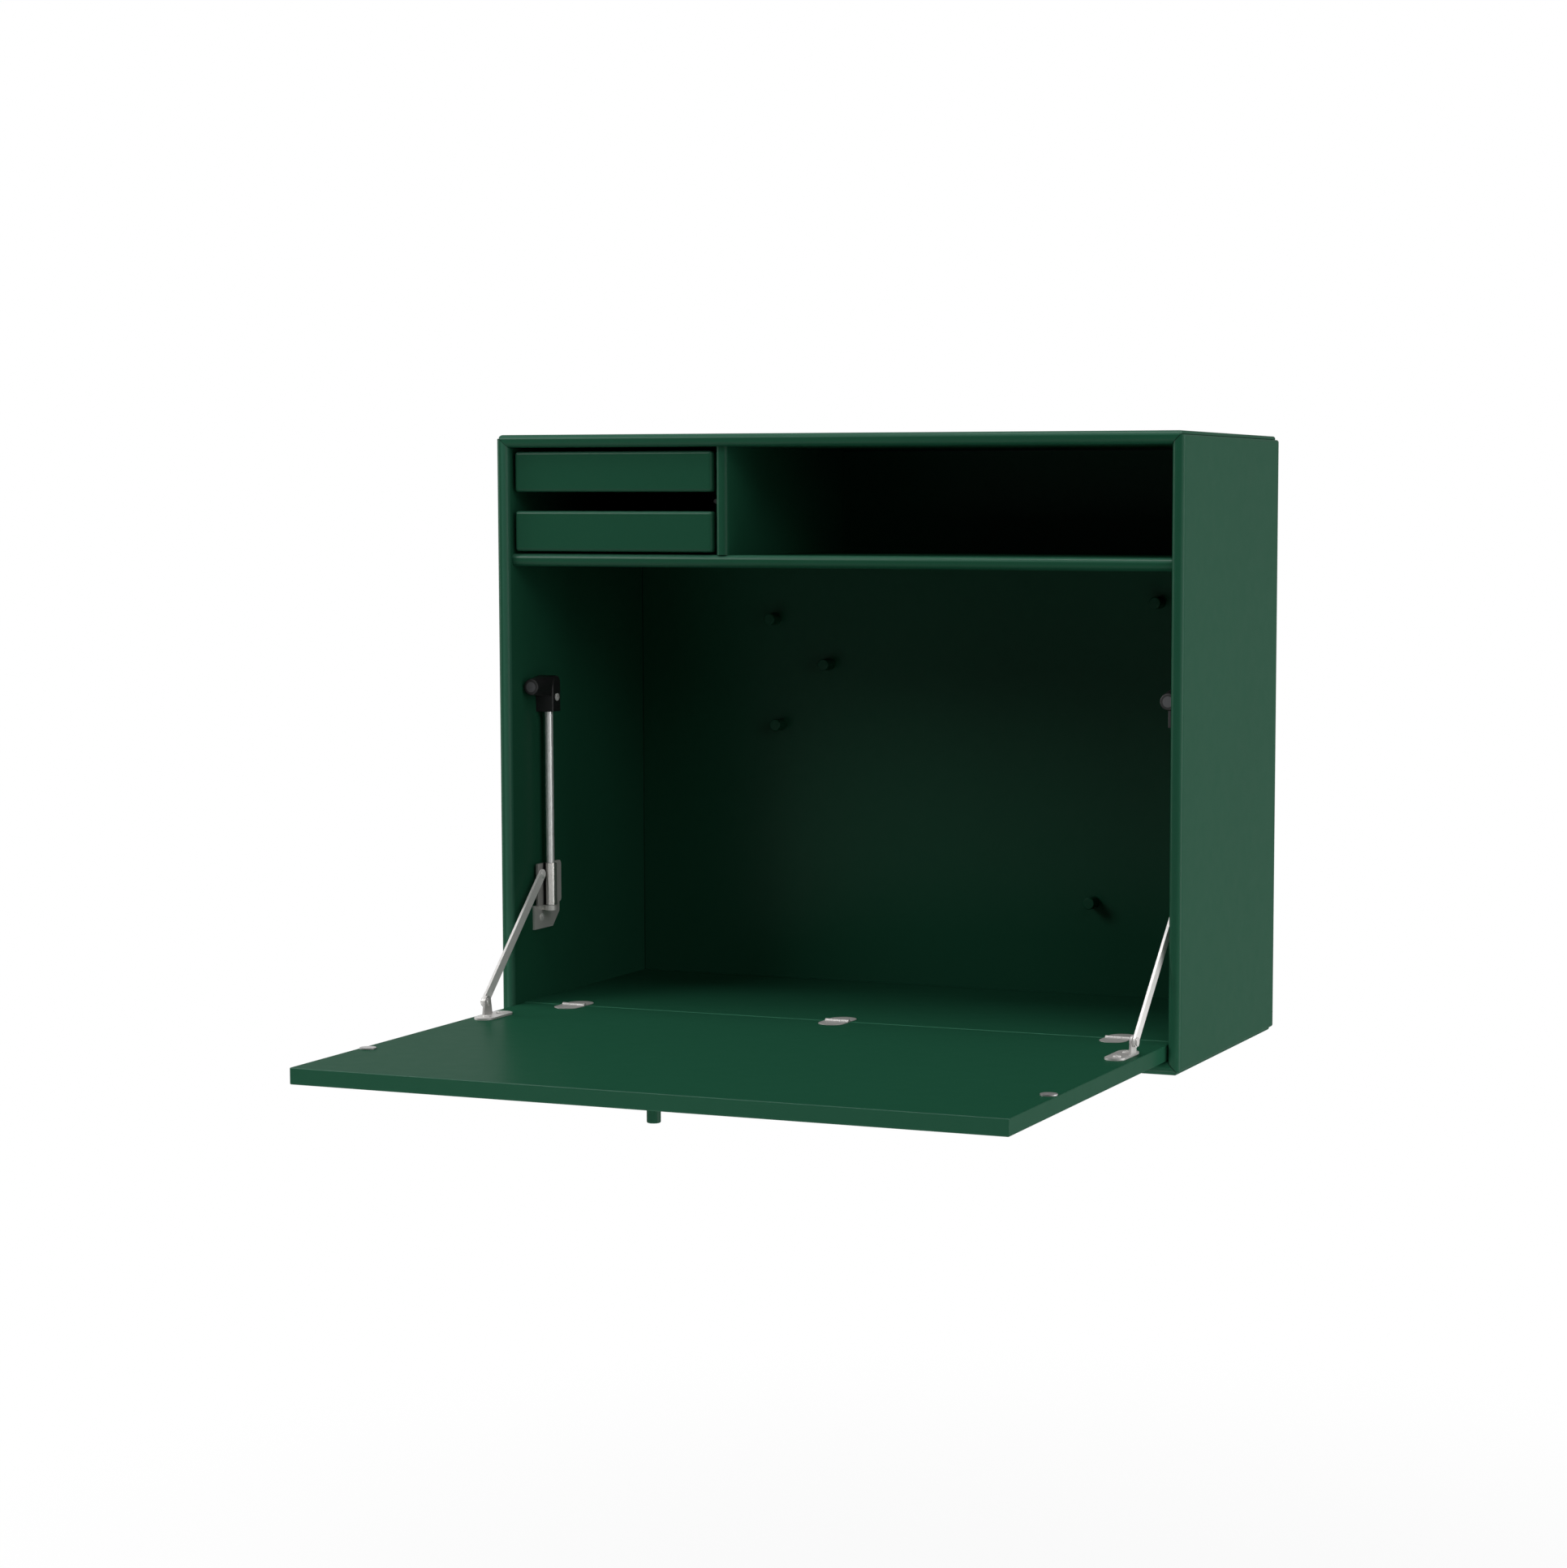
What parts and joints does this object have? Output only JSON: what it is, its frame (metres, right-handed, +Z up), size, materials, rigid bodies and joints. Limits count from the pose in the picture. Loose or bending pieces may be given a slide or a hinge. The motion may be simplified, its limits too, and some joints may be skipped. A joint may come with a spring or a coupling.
{
  "type": "fold down wall desk",
  "caption": "Wall cabinet with a drop-down writing flap on flush hinges and sliding brake stays, a shelf, trays and pegs inside, in green satin lacquer.",
  "frame": {"origin": "on the wall plane, midway between the two wall screw holes", "axes": "+X to the right as seen from the front, +Y into the wall, +Z up"},
  "size_m": [0.696, 0.703, 0.5865],
  "materials": {
    "lacquer": "satin green lacquer",
    "nickel": "nickel plated",
    "chrome": "polished",
    "black_plastic": "moulded",
    "magnet": "ground",
    "bare_wood": "raw beech"
  },
  "bodies": {
    "cabinet": {"back_panel": "lacquer", "back_pegs": "lacquer", "bottom_panel": "lacquer", "carcass_dowels": "bare_wood", "divider": "lacquer", "floor_board": "lacquer", "hinge_left_floor_leaf": "nickel", "hinge_left_pin": "nickel", "hinge_mid_floor_leaf": "nickel", "hinge_mid_pin": "nickel", "hinge_right_floor_leaf": "nickel", "hinge_right_pin": "nickel", "left_side_panel": "lacquer", "left_stay_foot": "nickel", "left_stay_head": "black_plastic", "left_stay_magnet": "magnet", "left_stay_rod": "chrome", "left_stay_screws": "nickel", "mitre_splines": "bare_wood", "right_side_panel": "lacquer", "right_stay_foot": "nickel", "right_stay_head": "black_plastic", "right_stay_magnet": "magnet", "right_stay_rod": "chrome", "right_stay_screws": "nickel", "shelf": "lacquer", "top_panel": "lacquer", "tray_runners": "lacquer"},
    "flap": {"flap_knob": "lacquer", "flap_panel": "lacquer", "hinge_left_flap_leaf": "nickel", "hinge_mid_flap_leaf": "nickel", "hinge_right_flap_leaf": "nickel", "left_bracket": "nickel", "left_bracket_rivet": "nickel", "left_bracket_screws": "nickel", "right_bracket": "nickel", "right_bracket_rivet": "nickel", "right_bracket_screws": "nickel", "strike_disc_left": "nickel", "strike_disc_right": "nickel"},
    "left_arm": {"left_arm": "nickel", "left_arm_rivet": "nickel"},
    "right_arm": {"right_arm": "nickel", "right_arm_rivet": "nickel"},
    "left_slider": {"left_brake": "black_plastic", "left_slider": "nickel"},
    "right_slider": {"right_brake": "black_plastic", "right_slider": "nickel"},
    "tray_upper": {"tray_upper_back": "lacquer", "tray_upper_bottom": "lacquer", "tray_upper_front": "lacquer", "tray_upper_left_side": "lacquer", "tray_upper_right_side": "lacquer"},
    "tray_lower": {"tray_lower_back": "lacquer", "tray_lower_bottom": "lacquer", "tray_lower_front": "lacquer", "tray_lower_left_side": "lacquer", "tray_lower_right_side": "lacquer"}
  },
  "joints": [
    {"name": "flap_hinge", "type": "hinge", "parent": "cabinet", "child": "flap", "pos_m": [0, -0.276, -0.4915], "axis": [-1, 0, 0], "range_deg": [0, 90]},
    {"name": "left_arm_pivot", "type": "hinge", "parent": "flap", "child": "left_arm", "pos_m": [-0.326, -0.368, -0.4784], "axis": [1, 0, 0], "range_deg": [0, 132.16]},
    {"name": "left_slider_slide", "type": "slide", "parent": "cabinet", "child": "left_slider", "axis": [0, 0, 1], "range_m": [0, 0.1289]},
    {"name": "right_arm_pivot", "type": "hinge", "parent": "flap", "child": "right_arm", "pos_m": [0.326, -0.368, -0.4784], "axis": [1, 0, 0], "range_deg": [0, 132.16]},
    {"name": "right_slider_slide", "type": "slide", "parent": "cabinet", "child": "right_slider", "axis": [0, 0, 1], "range_m": [0, 0.1289]},
    {"name": "tray_upper_slide", "type": "slide", "parent": "cabinet", "child": "tray_upper", "axis": [0, -1, 0], "range_m": [0, 0.18]},
    {"name": "tray_lower_slide", "type": "slide", "parent": "cabinet", "child": "tray_lower", "axis": [0, -1, 0], "range_m": [0, 0.18]}
  ],
  "couplings": [
    {"joint": "left_arm_pivot", "follows": "flap_hinge", "ratio": 1.4684},
    {"joint": "left_slider_slide", "follows": "flap_hinge", "m_per_rad": 0.082},
    {"joint": "right_arm_pivot", "follows": "flap_hinge", "ratio": 1.4684},
    {"joint": "right_slider_slide", "follows": "flap_hinge", "m_per_rad": 0.082}
  ]
}
